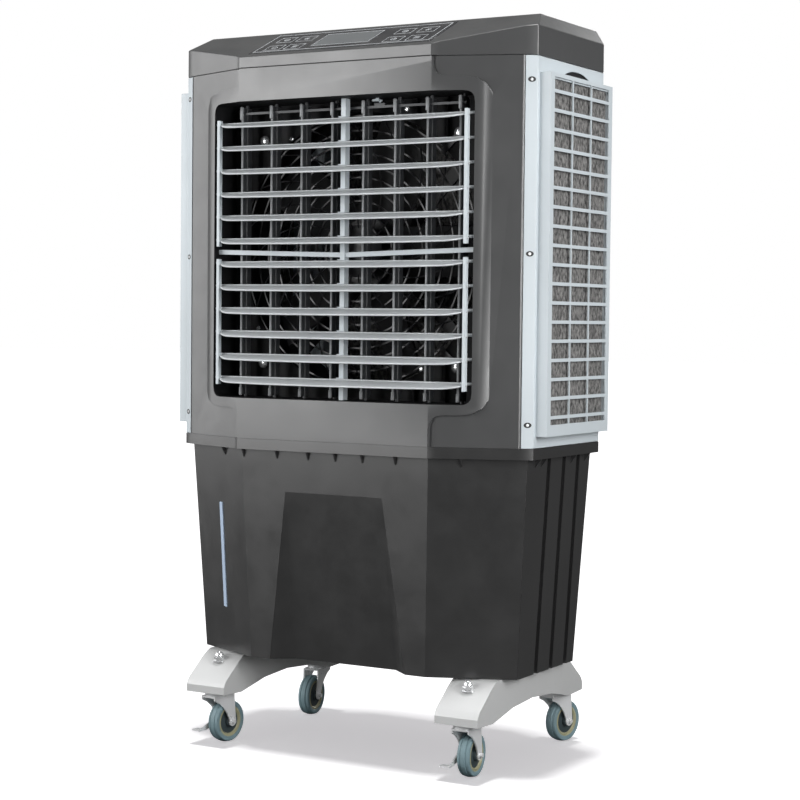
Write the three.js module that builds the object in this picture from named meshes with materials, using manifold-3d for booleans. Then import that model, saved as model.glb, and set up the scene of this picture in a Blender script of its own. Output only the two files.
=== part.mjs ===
// Evaporative cooler on casters: a fan cabinet with cooling pads on three sides, standing on a water tank.
// Millimetres, +Z up. The air outlet faces -Y. The origin is on the floor, under the middle of the whole part.

import * as THREE from 'three';
import { ConvexGeometry } from 'three/addons/geometries/ConvexGeometry.js';
import { mergeVertices } from 'three/addons/utils/BufferGeometryUtils.js';
import Module from 'manifold-3d';

const wasm = await Module();
wasm.setup();

// ---------------------------------------------------------------- driving dimensions

const GAP = 0.3;                    // between pieces that touch
const WALL = 4;                     // moulded plastic wall
const STANCE_MIDDLE_Y = 14.49;      // cabinet centre to the middle of the footprint, casters included

// Cabinet outline, seen from above: a flat front, two slanted front corners, narrow corner strips, flat sides.
const FRONT_Y = 195;
const FRONT_HALF = 189;             // half width of the flat, raised middle
const STEP_RUN = 13;                // the raised middle falls back over this width
const STEP_DEPTH = 8;
const CORNER_X = 330;
const CORNER_Y = 138;
const SIDE_X = 348;
const SIDE_Y = 127;

// Heights.
const TANK_BOTTOM = 162;
const BAND_BOTTOM = 527;            // the tank's rim band
const BAND_TOP = 545.5;
const SEAM = 1180;                  // cabinet to top cover
const SLOPE_FRONT = 1200;           // front edge of the sloping control face
const SLOPE_ANGLE = THREE.MathUtils.degToRad(25);
const ROOF = 1254;
const ROOF_FRONT_Y = -80;
const ROOF_HALF = 328;
const SIDE_TOP = 1228.5;

// Air outlet.
const OUTLET_HALF = 257;
const OUTLET_LOW = 615;
const OUTLET_HIGH = 1124;
const OUTLET_ROUND = 18;
const SURROUND_HALF = 268;          // raised band round the outlet
const SURROUND_OUTER = 285;         // its sloping edge dips under the recessed front here
const SURROUND_OUTER_Y = 154;
const SURROUND_LOW = 598;
const SURROUND_HIGH = 1147;
const RAISED_CORNER_Y = 167.4;      // raised band's plane at SURROUND_HALF
const DUCT_BACK = -104.3;

// Louvres: two banks of six, hinged along their back edge.
const LOUVRE_COUNT = 12;
const LOUVRES_PER_BANK = 6;
const LOUVRE_TOP_Z = 1089;
const LOUVRE_PITCH = 40;
const LOUVRE_AXIS_Y = -163;
const LOUVRE_TILT = THREE.MathUtils.degToRad(16);
const LOUVRE_HALF = 240;
const LOUVRE_PIN_R = 2.5;
const LINK_ARM = 11;                // louvre axis to link pin
const LINK_PIN_R = 1.5;
const LINK_X = 244.5;
const LINK_WIDTH = 6;
const LINK_DEPTH = 8.5;

// Vertical vanes behind the louvres.
const VANE_COUNT = 8;
const VANE_PITCH = 62;
const VANE_AXIS_Y = -130;
const VANE_PIN_R = 3;
const SWING_ARM = 9;                // vane axis to swing rod pin
const SWING_Z = 1109;
const VANE_SWING = THREE.MathUtils.degToRad(40);
const CRANK_X = 54;
const CRANK_DISC_R = 9;
const CRANK_THROW = SWING_ARM * Math.sin(VANE_SWING);

// Fan.
const FAN_Z = 869;
const FAN_HOLE_R = 238;
const FAN_R = 226;
const FAN_BLADES = 5;
const DECK_FRONT = -100;
const RING_BACK = -14;
const GUARD_Y = -106;
const GUARD_BOLT = 194.5;           // bolts sit this far from the fan's axis in X and in Z

// Pad frames.
const FRAME_PROUD = 20;             // how far a pad frame stands out of the cabinet
const FRAME_FACE = 2.5;             // thickness of a frame's face and of its grid
const PAD_SETBACK = 5;              // grid to pad
const FRAME_LOW = 565;
const FRAME_HIGH = 1154;
const GRID_LOW = 584;
const GRID_HIGH = 1147;
const GRID_PITCH = 31.1;
const GRID_TOP_BAR = 1124.5;
const GRID_BARS = 18;
const BAR = 5.6;
const UPRIGHT_BAR = 3.4;
const PAD_DEPTH = 85;
const SIDE_FRAME_HALF = 120;
const REAR_FRAME_HALF = 176;

// Feet and casters.
const FOOT_X = 250;
const FOOT_HALF = 40;
const FOOT_END = 199.5;
const FOOT_TOP = TANK_BOTTOM - GAP;
const KINGPIN_Y = 166;
const TRAIL = 26;
const WHEEL_R = 37.5;
const WHEEL_HALF = 11;
const FORK_INSIDE = 13.5;
const FORK_OUTSIDE = 16;

// ---------------------------------------------------------------- solid helpers

function solidOf(geometry) {
  geometry.deleteAttribute('normal');
  geometry.deleteAttribute('uv');
  const merged = mergeVertices(geometry, 1e-4);
  return new wasm.Manifold(new wasm.Mesh({
    numProp: 3,
    vertProperties: new Float32Array(merged.attributes.position.array),
    triVerts: new Uint32Array(merged.index.array),
  }));
}

function geometryOf(solid) {
  const mesh = solid.getMesh();
  const geometry = new THREE.BufferGeometry();
  geometry.setAttribute('position', new THREE.BufferAttribute(new Float32Array(mesh.vertProperties), 3));
  geometry.setIndex(new THREE.BufferAttribute(new Uint32Array(mesh.triVerts), 1));
  const flat = geometry.toNonIndexed();
  flat.computeVertexNormals();
  return flat;
}

const join = (first, ...others) => others.reduce((whole, part) => whole.add(part), first);
const cut = (first, ...tools) => tools.reduce((whole, tool) => whole.subtract(tool), first);

// A closed outline from [x, y] or [x, y, corner radius] points.
function outline(points) {
  const shape = new THREE.Shape();
  points.forEach(([x, y, radius = 0], index) => {
    const here = new THREE.Vector2(x, y);
    const before = new THREE.Vector2(...points.at(index - 1));
    const after = new THREE.Vector2(...points[(index + 1) % points.length]);
    const enter = before.sub(here).setLength(radius).add(here);
    const leave = after.sub(here).setLength(radius).add(here);
    if (index === 0) {
      shape.moveTo(enter.x, enter.y);
    } else {
      shape.lineTo(enter.x, enter.y);
    }
    if (radius > 0) {
      shape.quadraticCurveTo(x, y, leave.x, leave.y);
    }
  });
  shape.closePath();
  return shape;
}

function extrude(shape, depth, curveSegments = 4) {
  return new THREE.ExtrudeGeometry(shape, { depth, bevelEnabled: false, steps: 1, curveSegments });
}

// Prisms along each axis: an (x, y), (x, z) or (y, z) outline between two planes.
const prismZ = (shape, low, high) => solidOf(extrude(shape, high - low).translate(0, 0, low));
const prismY = (shape, low, high) => solidOf(extrude(shape, high - low).rotateX(Math.PI / 2).translate(0, high, 0));
const prismX = (shape, low, high, segments) => solidOf(
  extrude(shape, high - low, segments).rotateX(Math.PI / 2).rotateZ(Math.PI / 2).translate(low, 0, 0));

function boxGeometry(x0, x1, y0, y1, z0, z1) {
  const box = new THREE.BoxGeometry(x1 - x0, y1 - y0, z1 - z0);
  return box.translate((x0 + x1) / 2, (y0 + y1) / 2, (z0 + z1) / 2);
}

const block = (...limits) => solidOf(boxGeometry(...limits));

function rodZ(x, y, radius, low, high, sides = 8) {
  const rod = new THREE.CylinderGeometry(radius, radius, high - low, sides).rotateX(Math.PI / 2);
  return solidOf(rod.translate(x, y, (low + high) / 2));
}

function rodX(y, z, radius, low, high, sides = 8) {
  const rod = new THREE.CylinderGeometry(radius, radius, high - low, sides).rotateZ(Math.PI / 2);
  return solidOf(rod.translate((low + high) / 2, y, z));
}

function rodY(x, z, radius, low, high, sides = 8) {
  const rod = new THREE.CylinderGeometry(radius, radius, high - low, sides);
  return solidOf(rod.translate(x, (low + high) / 2, z));
}

const hull = (points) => solidOf(new ConvexGeometry(points.map((point) => new THREE.Vector3(...point))));
const mirroredPairs = (points) => points.flatMap(([x, y, z]) => [[x, y, z], [-x, y, z]]);
const numbered = (count) => Array.from({ length: count }, (_, index) => index);

// ---------------------------------------------------------------- materials

const finish = (color, roughness, metalness = 0) => new THREE.MeshStandardMaterial({ color, roughness, metalness });
const DARK = finish(0x4c4d4e, 0.42);
const TANK = finish(0x38393b, 0.45);
const WHITE = finish(0xd9dde2, 0.45);
const LOUVRE = finish(0xcdd2d6, 0.4);
const VANE = finish(0x55585c, 0.5);
const BLACK = finish(0x141516, 0.55);
const PANEL = finish(0x2a2b2d, 0.25);
const PAD = finish(0x8a8076, 0.95);
const WINDOW = finish(0x9fb6c8, 0.2);
const ZINC = finish(0xc4c8cc, 0.3, 0.9);
const RUBBER = finish(0x5f7478, 0.7);
const WIRE = finish(0x1a1b1c, 0.4, 0.3);

const cooler = new THREE.Group();
const cabinet = new THREE.Group();
cabinet.position.y = -STANCE_MIDDLE_Y;
cooler.add(cabinet);

function place(name, shape, material, parent = cabinet) {
  const mesh = new THREE.Mesh(shape.isBufferGeometry ? shape : geometryOf(shape), material);
  mesh.name = name;
  parent.add(mesh);
  return mesh;
}

// ---------------------------------------------------------------- outlines shared by the housing pieces

const RECESSED_Y = FRONT_Y - STEP_DEPTH;
const RECESSED_HALF = FRONT_HALF + STEP_RUN;

// The raised middle of the front, as a strip standing on the recessed front.
const raisedStrip = outline([
  [-RECESSED_HALF, -RECESSED_Y + 1],
  [-RECESSED_HALF, -RECESSED_Y],
  [-FRONT_HALF, -FRONT_Y],
  [FRONT_HALF, -FRONT_Y],
  [RECESSED_HALF, -RECESSED_Y],
  [RECESSED_HALF, -RECESSED_Y + 1],
]);

// A band of constant thickness behind a left-to-right line of points.
const bandBehind = (line, thickness) => outline([
  ...line, ...line.toReversed().map(([x, y]) => [x, y + thickness]),
]);

const frontLine = [
  [-CORNER_X, -CORNER_Y],
  [-RECESSED_HALF, -RECESSED_Y],
  [RECESSED_HALF, -RECESSED_Y],
  [CORNER_X, -CORNER_Y],
];

const cabinetOutline = outline([
  ...frontLine,
  [SIDE_X, -SIDE_Y],
  [SIDE_X, SIDE_Y],
  [CORNER_X, CORNER_Y],
  [FRONT_HALF, FRONT_Y],
  [-FRONT_HALF, FRONT_Y],
  [-CORNER_X, CORNER_Y],
  [-SIDE_X, SIDE_Y],
  [-SIDE_X, -SIDE_Y],
]);

// ---------------------------------------------------------------- top cover and control panel

const slopeHeight = (y) => SLOPE_FRONT + (y + FRONT_Y) * Math.tan(SLOPE_ANGLE);

function coverForm(base) {
  return hull(mirroredPairs([
    [RECESSED_HALF, -RECESSED_Y, base],
    [CORNER_X, -CORNER_Y, base],
    [SIDE_X, -SIDE_Y, base],
    [SIDE_X, SIDE_Y, base],
    [CORNER_X, CORNER_Y, base],
    [FRONT_HALF, FRONT_Y, base],
    [RECESSED_HALF, -RECESSED_Y, slopeHeight(-RECESSED_Y)],
    [CORNER_X, -CORNER_Y, slopeHeight(-CORNER_Y)],
    [SIDE_X, -SIDE_Y, SIDE_TOP],
    [SIDE_X, SIDE_Y, SIDE_TOP],
    [ROOF_HALF, ROOF_FRONT_Y, ROOF],
    [ROOF_HALF, CORNER_Y, ROOF],
    [FRONT_HALF, FRONT_Y, ROOF],
  ]));
}

// A slab lying on the sloping face: half width, front and back Y, and how far it reaches below and above the face.
function slopeSlab(half, frontY, backY, below, above) {
  const length = (backY - frontY) / Math.cos(SLOPE_ANGLE);
  const middleY = (frontY + backY) / 2;
  const slab = boxGeometry(-half, half, -length / 2, length / 2, -below, above);
  return solidOf(slab.rotateX(SLOPE_ANGLE).translate(0, middleY, slopeHeight(middleY)));
}

const PANEL_HALF = 179;
const PANEL_FRONT_Y = -183;
const PANEL_BACK_Y = -88.5;
const PANEL_DEPTH = 3;

function topCover() {
  const base = SEAM + GAP;
  const raised = hull(mirroredPairs([
    [RECESSED_HALF, -RECESSED_Y, base],
    [FRONT_HALF, -FRONT_Y, base],
    [FRONT_HALF, -FRONT_Y, SLOPE_FRONT],
    [RECESSED_HALF, -RECESSED_Y, slopeHeight(-RECESSED_Y)],
    [FRONT_HALF, -RECESSED_Y + 2, base],
    [FRONT_HALF, -RECESSED_Y + 2, slopeHeight(-RECESSED_Y + 2)],
  ]));
  const shrink = new THREE.Vector3(1 - 5 / SIDE_X, 1 - 6 / FRONT_Y, 1 - 8 / (ROOF - SEAM));
  const hollow = coverForm(base)
    .translate([0, 0, -base])
    .scale([shrink.x, shrink.y, shrink.z])
    .translate([0, 0, base]);
  const mouth = hollow.translate([0, 0, -1]);
  const recess = slopeSlab(
    PANEL_HALF + GAP, PANEL_FRONT_Y - GAP, PANEL_BACK_Y + GAP, PANEL_DEPTH + GAP, 20);
  return cut(join(coverForm(base), raised), hollow, mouth, recess);
}

place('top_cover', topCover(), DARK);
place('control_panel', slopeSlab(PANEL_HALF, PANEL_FRONT_Y, PANEL_BACK_Y, PANEL_DEPTH, 0.5), PANEL);

// ---------------------------------------------------------------- front bezel with the outlet duct

const outletOutline = (grow) => outline([
  [-OUTLET_HALF - grow, OUTLET_LOW - grow, OUTLET_ROUND],
  [OUTLET_HALF + grow, OUTLET_LOW - grow, OUTLET_ROUND],
  [OUTLET_HALF + grow, OUTLET_HIGH + grow, OUTLET_ROUND],
  [-OUTLET_HALF - grow, OUTLET_HIGH + grow, OUTLET_ROUND],
]);

// Front view of everything that stands proud: the middle strip, widening round the outlet.
function raisedFace(low, high) {
  const narrow = FRONT_HALF;
  const wide = SURROUND_OUTER - 1;
  const inner = 26;
  const outer = 46;
  return outline([
    [-narrow, low],
    [narrow, low],
    [narrow, SURROUND_LOW, inner],
    [wide, SURROUND_LOW, outer],
    [wide, SURROUND_HIGH, outer],
    [narrow, SURROUND_HIGH, inner],
    [narrow, high],
    [-narrow, high],
    [-narrow, SURROUND_HIGH, inner],
    [-wide, SURROUND_HIGH, outer],
    [-wide, SURROUND_LOW, outer],
    [-narrow, SURROUND_LOW, inner],
  ]);
}

const louvreHeights = numbered(LOUVRE_COUNT).map((index) => LOUVRE_TOP_Z - index * LOUVRE_PITCH);
const vanePlaces = numbered(VANE_COUNT).map((index) => (index - (VANE_COUNT - 1) / 2) * VANE_PITCH);

function frontBezel() {
  const low = BAND_TOP + GAP;
  const high = SEAM - GAP;
  const plate = prismZ(bandBehind(frontLine, WALL), low, high);
  const raisedPlan = outline([
    [-SURROUND_OUTER, -SURROUND_OUTER_Y],
    [-SURROUND_HALF, -RAISED_CORNER_Y],
    [-FRONT_HALF, -FRONT_Y],
    [FRONT_HALF, -FRONT_Y],
    [SURROUND_HALF, -RAISED_CORNER_Y],
    [SURROUND_OUTER, -SURROUND_OUTER_Y],
    [RECESSED_HALF, -RECESSED_Y + WALL],
    [-RECESSED_HALF, -RECESSED_Y + WALL],
  ]);
  const proud = prismZ(raisedPlan, low, high).intersect(prismY(raisedFace(low, high), -FRONT_Y - 5, -CORNER_Y));
  const behindPlate = prismZ(outline([
    [-CORNER_X, -CORNER_Y + 1],
    [-RECESSED_HALF, -RECESSED_Y + 1],
    [RECESSED_HALF, -RECESSED_Y + 1],
    [CORNER_X, -CORNER_Y + 1],
    [CORNER_X, 0],
    [-CORNER_X, 0],
  ]), low, high);
  const duct = prismY(outletOutline(WALL), -FRONT_Y, DUCT_BACK).intersect(behindPlate);
  const outlet = prismY(outletOutline(0), -FRONT_Y - 10, DUCT_BACK + 10);
  const louvreSockets = louvreHeights.map(
    (z) => rodX(LOUVRE_AXIS_Y, z, LOUVRE_PIN_R + 0.4, -OUTLET_HALF - 2.6, OUTLET_HALF + 2.6));
  const vaneSockets = vanePlaces.map(
    (x) => rodZ(x, VANE_AXIS_Y, VANE_PIN_R + 0.4, OUTLET_LOW - 3, OUTLET_HIGH + 3));
  const crankHole = rodZ(CRANK_X, VANE_AXIS_Y - SWING_ARM, 3.6, OUTLET_HIGH - 1, OUTLET_HIGH + WALL + 1);
  return cut(join(plate, proud, duct), outlet, ...louvreSockets, ...vaneSockets, crankHole);
}

place('front_bezel', frontBezel(), DARK);

// Centre post with the two halves of the fixed crossbar.
function grilleCross() {
  const postHalf = 4.5;
  const postFront = LOUVRE_AXIS_Y + LOUVRE_PIN_R + 0.9;
  const post = block(-postHalf, postHalf, postFront, postFront + 14, OUTLET_LOW + GAP, OUTLET_HIGH - GAP);
  const barBack = postFront + 10.5;
  const barFront = postFront + 2.5;
  const halfBar = outline([
    [0, 857],
    [OUTLET_HALF - GAP, 864],
    [OUTLET_HALF - GAP, 872],
    [0, 865],
  ]);
  const right = prismY(halfBar, barFront, barBack);
  return join(post, right, right.mirror([1, 0, 0]));
}

place('grille_cross', grilleCross(), WHITE);

// ---------------------------------------------------------------- louvres and their link bars

// One louvre about its own hinge line: a bowed blade, its hinge rod and its two link pins.
function louvre() {
  const blade = prismZ(outline([
    [-LOUVRE_HALF, 0],
    [-LOUVRE_HALF, -13.5],
    [-184, -29.6],
    [-92, -33.8],
    [0, -35.4],
    [92, -33.8],
    [184, -29.6],
    [LOUVRE_HALF, -13.5],
    [LOUVRE_HALF, 0],
  ]), -1.2, 1.2);
  const hingeRod = rodX(0, 0, LOUVRE_PIN_R, -OUTLET_HALF - 2, OUTLET_HALF + 2);
  const pins = [-1, 1].map((side) => {
    const ends = [side * (LOUVRE_HALF - 1), side * (LINK_X + LINK_WIDTH / 2 + 1.5)];
    return rodX(-LINK_ARM, 0, LINK_PIN_R, Math.min(...ends), Math.max(...ends));
  });
  return geometryOf(join(blade, hingeRod, ...pins));
}

const louvreGeometry = louvre();
louvreHeights.forEach((z, index) => {
  const mesh = place(`louvre_${String(index + 1).padStart(2, '0')}`, louvreGeometry, LOUVRE);
  mesh.position.set(0, LOUVRE_AXIS_Y, z);
  mesh.rotation.x = LOUVRE_TILT;
});

const linkPinY = LOUVRE_AXIS_Y - LINK_ARM * Math.cos(LOUVRE_TILT);
const linkPinDrop = LINK_ARM * Math.sin(LOUVRE_TILT);

function linkBar(bank, side) {
  const pinHeights = louvreHeights
    .slice(bank * LOUVRES_PER_BANK, (bank + 1) * LOUVRES_PER_BANK)
    .map((z) => z - linkPinDrop);
  const inner = side * LINK_X - LINK_WIDTH / 2;
  const outer = side * LINK_X + LINK_WIDTH / 2;
  const bar = block(
    inner, outer, linkPinY - LINK_DEPTH / 2, linkPinY + LINK_DEPTH / 2, pinHeights.at(-1) - 9, pinHeights[0] + 9);
  return cut(bar, ...pinHeights.map((z) => rodX(linkPinY, z, LINK_PIN_R + 0.5, inner - 1, outer + 1)));
}

['upper', 'lower'].forEach((bankName, bank) => {
  place(`link_bar_${bankName}_left`, linkBar(bank, -1), WHITE);
  place(`link_bar_${bankName}_right`, linkBar(bank, 1), WHITE);
});

// ---------------------------------------------------------------- vanes and their swing drive

// One vane about its own pivot line: a plate, two front bosses, pivot pins and a window for the swing rod.
function vane() {
  const plate = block(-1.25, 1.25, -15.3, 13.5, OUTLET_LOW + 3, OUTLET_HIGH - 4);
  const bead = rodZ(0, -14.4, 1.9, OUTLET_LOW + 3, OUTLET_HIGH - 4, 6);
  const topBoss = rodZ(0, -16.8, 2.9, 1098, OUTLET_HIGH - 3);
  const lowBoss = rodZ(0, -15.4, 2.9, OUTLET_LOW + 2, 632);
  const pivot = rodZ(0, 0, VANE_PIN_R, OUTLET_LOW - 2.4, OUTLET_HIGH + 2.4);
  const window = block(-6, 6, -SWING_ARM - 5.2, -SWING_ARM + 5.4, SWING_Z - 5, SWING_Z + 5);
  const swingPin = rodZ(0, -SWING_ARM, 1.5, SWING_Z - 6, SWING_Z + 6);
  return geometryOf(join(cut(join(plate, bead, topBoss, lowBoss, pivot), window), swingPin));
}

const vaneGeometry = vane();
vanePlaces.forEach((x, index) => {
  const mesh = place(`vane_${index + 1}`, vaneGeometry, VANE);
  mesh.position.set(x, VANE_AXIS_Y, 0);
});

const swingY = VANE_AXIS_Y - SWING_ARM;

function swingRod() {
  const reach = vanePlaces.at(-1) + 8;
  const half = 2.6;
  const pinX = CRANK_X + CRANK_THROW;
  const rod = block(-reach, reach, swingY - half, swingY + half, SWING_Z - 2, SWING_Z + 2);
  const drivingArm = block(pinX - 10, pinX + 10, swingY - half, swingY + half, SWING_Z + 1, SWING_Z + 6);
  const holes = vanePlaces.map((x) => rodZ(x, swingY, 1.9, SWING_Z - 3, SWING_Z + 3));
  return cut(join(rod, drivingArm), ...holes);
}

place('swing_rod', swingRod(), VANE);

// The crank turns about its shaft; its pin ends just above the rod's driving arm.
function swingCrank() {
  const disc = rodZ(CRANK_X, swingY, CRANK_DISC_R, SWING_Z + 9.2, SWING_Z + 12.4, 16);
  const shaft = rodZ(CRANK_X, swingY, 3, SWING_Z + 11, OUTLET_HIGH + WALL + 2.5);
  const pin = rodZ(CRANK_X + CRANK_THROW, swingY, 2, SWING_Z + 6.8, SWING_Z + 10);
  return join(disc, shaft, pin);
}

place('swing_crank', swingCrank(), WHITE);

const motorBase = OUTLET_HIGH + WALL + GAP;
const swingMotor = cut(
  block(CRANK_X - 25, CRANK_X + 25, swingY - 21, swingY + 21, motorBase, motorBase + 22),
  rodZ(CRANK_X, swingY, 3.6, motorBase - 1, motorBase + 4),
);
place('swing_motor', swingMotor, ZINC);

// ---------------------------------------------------------------- fan deck, guard, fan and motor

const deckHalf = OUTLET_HALF + WALL;

function fanDeck() {
  const plate = block(-deckHalf, deckHalf, DECK_FRONT - 4, DECK_FRONT, OUTLET_LOW - WALL, OUTLET_HIGH + WALL);
  const ring = rodY(0, FAN_Z, FAN_HOLE_R + 4, DECK_FRONT - 1, RING_BACK, 48);
  const hole = rodY(0, FAN_Z, FAN_HOLE_R, DECK_FRONT - 5, RING_BACK + 1, 48);
  const clearOfFan = FAN_HOLE_R + 12;
  const ribs = [-172, -113, 113, 172].flatMap((x) => {
    const start = Math.sqrt(clearOfFan ** 2 - x ** 2);
    const frontY = DECK_FRONT - 12;
    return [
      block(x - 3, x + 3, frontY, DECK_FRONT - 2, FAN_Z + start, OUTLET_HIGH + WALL),
      block(x - 3, x + 3, frontY, DECK_FRONT - 2, OUTLET_LOW - WALL, FAN_Z - start),
    ];
  });
  return cut(join(plate, ring, ...ribs), hole);
}

// The deck closes the back of the duct, so its ribs stay inside the duct walls.
const ductInside = prismY(outletOutline(-GAP), DECK_FRONT - 14, DECK_FRONT - 3.9);
const deckZone = join(block(-400, 400, DECK_FRONT - 4, 0, 500, 1200), ductInside);
place('fan_deck', fanDeck().intersect(deckZone), BLACK);

function ringY(radius, tube, y, sides = 30) {
  const ring = new THREE.TorusGeometry(radius, tube, 4, sides).rotateX(Math.PI / 2);
  return solidOf(ring.translate(0, y, FAN_Z));
}

// Wire guard: rings on radial wires, with four arms out to the mounting bolts.
function fanGuard() {
  const rings = [44, 106, 168, 232].map((radius) => ringY(radius, 1.7, GUARD_Y));
  const wires = numbered(12).map((index) => {
    const wire = boxGeometry(42, 233, GUARD_Y - 1.2, GUARD_Y + 1.2, -1.2, 1.2);
    return solidOf(wire.rotateY((index * Math.PI) / 6).translate(0, 0, FAN_Z));
  });
  const arms = [45, 135, 225, 315].map((degrees) => {
    const arm = boxGeometry(230, 279, GUARD_Y - 1.5, GUARD_Y + 1.5, -4, 4);
    return solidOf(arm.rotateY(THREE.MathUtils.degToRad(degrees)).translate(0, 0, FAN_Z));
  });
  return join(...rings, ...wires, ...arms);
}

place('fan_guard', fanGuard(), WIRE);

// Impeller: pitched blades on a hub, with the shaft that runs back into the motor.
function fanImpeller() {
  const hub = rodY(0, FAN_Z, 58, -82, -34, 24);
  const shaft = rodY(0, FAN_Z, 6, -36, -1);
  const blades = numbered(FAN_BLADES).map((index) => {
    const blade = boxGeometry(50, FAN_R, -2, 2, -48, 48);
    blade.rotateX(THREE.MathUtils.degToRad(28));
    blade.rotateY((index * 2 * Math.PI) / FAN_BLADES);
    return solidOf(blade.translate(0, -58, FAN_Z));
  });
  return join(hub, shaft, ...blades);
}

place('fan_impeller', fanImpeller(), BLACK);

function fanMotor() {
  const front = RING_BACK + GAP + 0.2;
  const body = rodY(0, FAN_Z, 68, front + 5, 62, 24);
  const arms = [45, 135, 225, 315].map((degrees) => {
    const arm = boxGeometry(20, FAN_HOLE_R + 3, front, front + 6, -11, 11);
    return solidOf(arm.rotateY(THREE.MathUtils.degToRad(degrees)).translate(0, 0, FAN_Z));
  });
  const shaftHole = rodY(0, FAN_Z, 6.6, front - 10, 4);
  return cut(join(body, ...arms), shaftHole);
}

place('fan_motor', fanMotor(), ZINC);

// ---------------------------------------------------------------- side and rear panels

const PAD_OPENING_LOW = 572;
const PAD_OPENING_HIGH = 1148;

// Finger notch over a pad frame, pressed into the panel.
const NOTCH_DEPTH = 2.6;
const NOTCH_MIDDLE_Y = 20;          // a side notch lies a little behind the middle
const notchOutline = outline([
  [-62, FRAME_HIGH - 8],
  [62, FRAME_HIGH - 8],
  [62, FRAME_HIGH],
  [26, FRAME_HIGH + 14, 22],
  [-26, FRAME_HIGH + 14, 22],
  [-62, FRAME_HIGH],
]);

// White side panel with the corner strips it screws to; the pad frame sits in its opening.
function sidePanel() {
  const edgeX = CORNER_X + 0.5;
  const panel = prismZ(outline([
    [edgeX, -CORNER_Y],
    [SIDE_X, -SIDE_Y],
    [SIDE_X, SIDE_Y],
    [edgeX, CORNER_Y],
    [edgeX, CORNER_Y - 5],
    [SIDE_X - WALL, SIDE_Y - 3],
    [SIDE_X - WALL, -SIDE_Y + 3],
    [edgeX, -CORNER_Y + 5],
  ]), BAND_TOP + GAP, SEAM - GAP);
  const opening = block(SIDE_X - 10, SIDE_X + 10, -112, 112, PAD_OPENING_LOW, PAD_OPENING_HIGH);
  const fingerNotch = prismX(notchOutline, SIDE_X - NOTCH_DEPTH, SIDE_X + 10).translate([0, NOTCH_MIDDLE_Y, 0]);
  return cut(panel, opening, fingerNotch);
}

function rearPanel() {
  const backLine = [
    [CORNER_X, CORNER_Y],
    [FRONT_HALF, FRONT_Y],
    [-FRONT_HALF, FRONT_Y],
    [-CORNER_X, CORNER_Y],
  ];
  const panel = prismZ(bandBehind(backLine, -WALL), BAND_TOP + GAP, SEAM - GAP);
  const opening = block(-168, 168, FRONT_Y - 10, FRONT_Y + 10, PAD_OPENING_LOW, PAD_OPENING_HIGH);
  const fingerNotch = prismY(notchOutline, FRONT_Y - NOTCH_DEPTH, FRONT_Y + 10);
  const cordGland = rodY(-258, 575, 9, 160, 178, 12);
  return join(cut(panel, opening, fingerNotch), cordGland);
}

const rightPanel = sidePanel();
place('side_panel_right', rightPanel, WHITE);
place('side_panel_left', rightPanel.mirror([1, 0, 0]), WHITE);
place('rear_panel', rearPanel(), WHITE);

// ---------------------------------------------------------------- pad frames and pads

// A removable frame facing +X, with X counted from the cabinet wall that it stands on.
function padFrame(half, columns) {
  const trayHalf = half - 9;
  const faceBack = FRAME_PROUD - FRAME_FACE;
  const face = block(faceBack, FRAME_PROUD, -half, half, FRAME_LOW, FRAME_HIGH);
  const rim = cut(
    block(GAP, faceBack + 1, -half, half, FRAME_LOW, FRAME_HIGH),
    block(-1, faceBack + 2, -half + 3, half - 3, FRAME_LOW + 3, FRAME_HIGH - 3));
  const tray = cut(
    block(-45, faceBack + 1, -trayHalf, trayHalf, PAD_OPENING_LOW + 1, PAD_OPENING_HIGH - 1),
    block(-46, faceBack + 2, -trayHalf + 2.5, trayHalf - 2.5, PAD_OPENING_LOW + 3.5, PAD_OPENING_HIGH - 3.5));
  const gridHalf = trayHalf - 5;
  const columnPitch = (2 * gridHalf + UPRIGHT_BAR) / columns;
  const barHeights = numbered(GRID_BARS).map((index) => GRID_TOP_BAR - index * GRID_PITCH);
  const rowEdges = [GRID_HIGH + BAR / 2, ...barHeights, GRID_LOW - BAR / 2];
  const cells = numbered(columns).flatMap((column) => numbered(GRID_BARS + 1).map((row) => block(
    faceBack - 1, FRAME_PROUD + 1,
    -gridHalf + column * columnPitch, -gridHalf + (column + 1) * columnPitch - UPRIGHT_BAR,
    rowEdges[row + 1] + BAR / 2, rowEdges[row] - BAR / 2)));
  return geometryOf(cut(join(face, rim, tray), ...cells));
}

function pad(half) {
  const padHalf = half - 12;
  const face = FRAME_PROUD - FRAME_FACE - PAD_SETBACK;
  return boxGeometry(face - PAD_DEPTH, face, -padHalf, padHalf, PAD_OPENING_LOW + 4, PAD_OPENING_HIGH - 4);
}

const sideFrame = padFrame(SIDE_FRAME_HALF, 3);
const sidePad = pad(SIDE_FRAME_HALF);
const rearFrame = padFrame(REAR_FRAME_HALF, 5);
const rearPad = pad(REAR_FRAME_HALF);
const stations = [
  { side: 'right', frame: sideFrame, filling: sidePad, turn: 0, x: SIDE_X, y: 0 },
  { side: 'left', frame: sideFrame, filling: sidePad, turn: Math.PI, x: -SIDE_X, y: 0 },
  { side: 'rear', frame: rearFrame, filling: rearPad, turn: Math.PI / 2, x: 0, y: FRONT_Y },
];
for (const { side, frame, filling, turn, x, y } of stations) {
  const station = new THREE.Group();
  station.position.set(x, y, 0);
  station.rotation.z = turn;
  cabinet.add(station);
  place(`pad_frame_${side}`, frame, WHITE, station);
  place(`pad_${side}`, filling, PAD, station);
}

// ---------------------------------------------------------------- water tank, level window, pump and pipework

// Front edge and corner of the tank's plan; the top ring is wider, and its slanted side stays parallel.
const TANK_FOOT = { frontHalf: 174, frontY: 168, cornerX: 314, cornerY: 107 };
const TANK_RIM = { frontHalf: 185.7, frontY: 186.4, cornerX: 335, cornerY: 121.35 };
const TANK_HEIGHT = BAND_BOTTOM - TANK_BOTTOM;

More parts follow.
